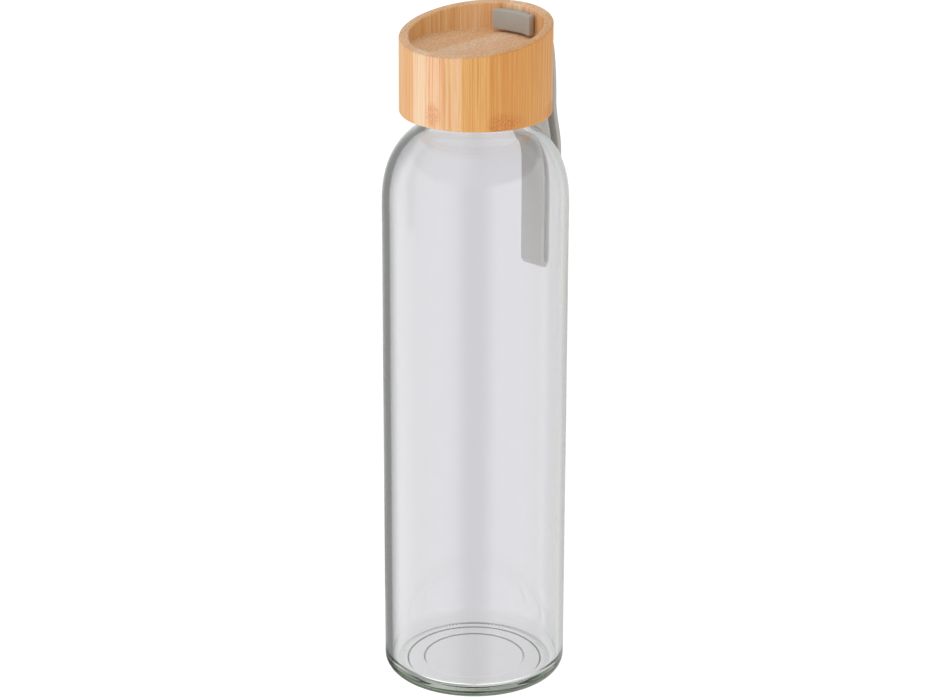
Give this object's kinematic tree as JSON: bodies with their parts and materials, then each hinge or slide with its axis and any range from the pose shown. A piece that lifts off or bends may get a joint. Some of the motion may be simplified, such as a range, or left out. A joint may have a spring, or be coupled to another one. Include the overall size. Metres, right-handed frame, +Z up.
{
  "type": "glass water bottle",
  "caption": "Cylindrical clear glass drinking bottle with a screwed bamboo cap, slanted rim, threaded liner, seal and a hanging silicone carry strap.",
  "frame": {"origin": "on the bottle's axis, at the height of the surface that it stands on", "axes": "+Z up along the bottle's axis, +Y towards the carry strap, +X to the right when looking along +Y"},
  "size_m": [0.064, 0.0713, 0.2385],
  "materials": {
    "glass": "clear soda-lime glass, fire polished",
    "bamboo": "laminated bamboo, turned and sanded, thin matt oil",
    "liner": "moulded natural polypropylene",
    "seal": "moulded translucent silicone",
    "strap": "moulded taupe silicone, matt"
  },
  "bodies": {
    "bottle": {"glass_bottle": "glass"},
    "seal": {"seal_ring": "seal"},
    "cap": {"bamboo_cap": "bamboo", "threaded_insert": "liner", "strap_anchor": "strap"},
    "strap": {"strap_loop": "strap"}
  },
  "joints": [
    {"name": "cap_lift", "type": "slide", "parent": "bottle", "child": "seal", "axis": [0, 0, 1], "range_m": [0, 0.02]},
    {"name": "cap_turn", "type": "hinge", "parent": "seal", "child": "cap", "pos_m": [0, 0, 0.205], "axis": [0, 0, 1], "range_deg": [0, 1440]},
    {"name": "strap_swing", "type": "hinge", "parent": "cap", "child": "strap", "pos_m": [0, 0.02805, 0.23262], "axis": [1, 0, 0], "range_deg": [0, 140]}
  ],
  "couplings": [
    {"joint": "cap_lift", "follows": "cap_turn", "m_per_rad": 0.00079577}
  ]
}
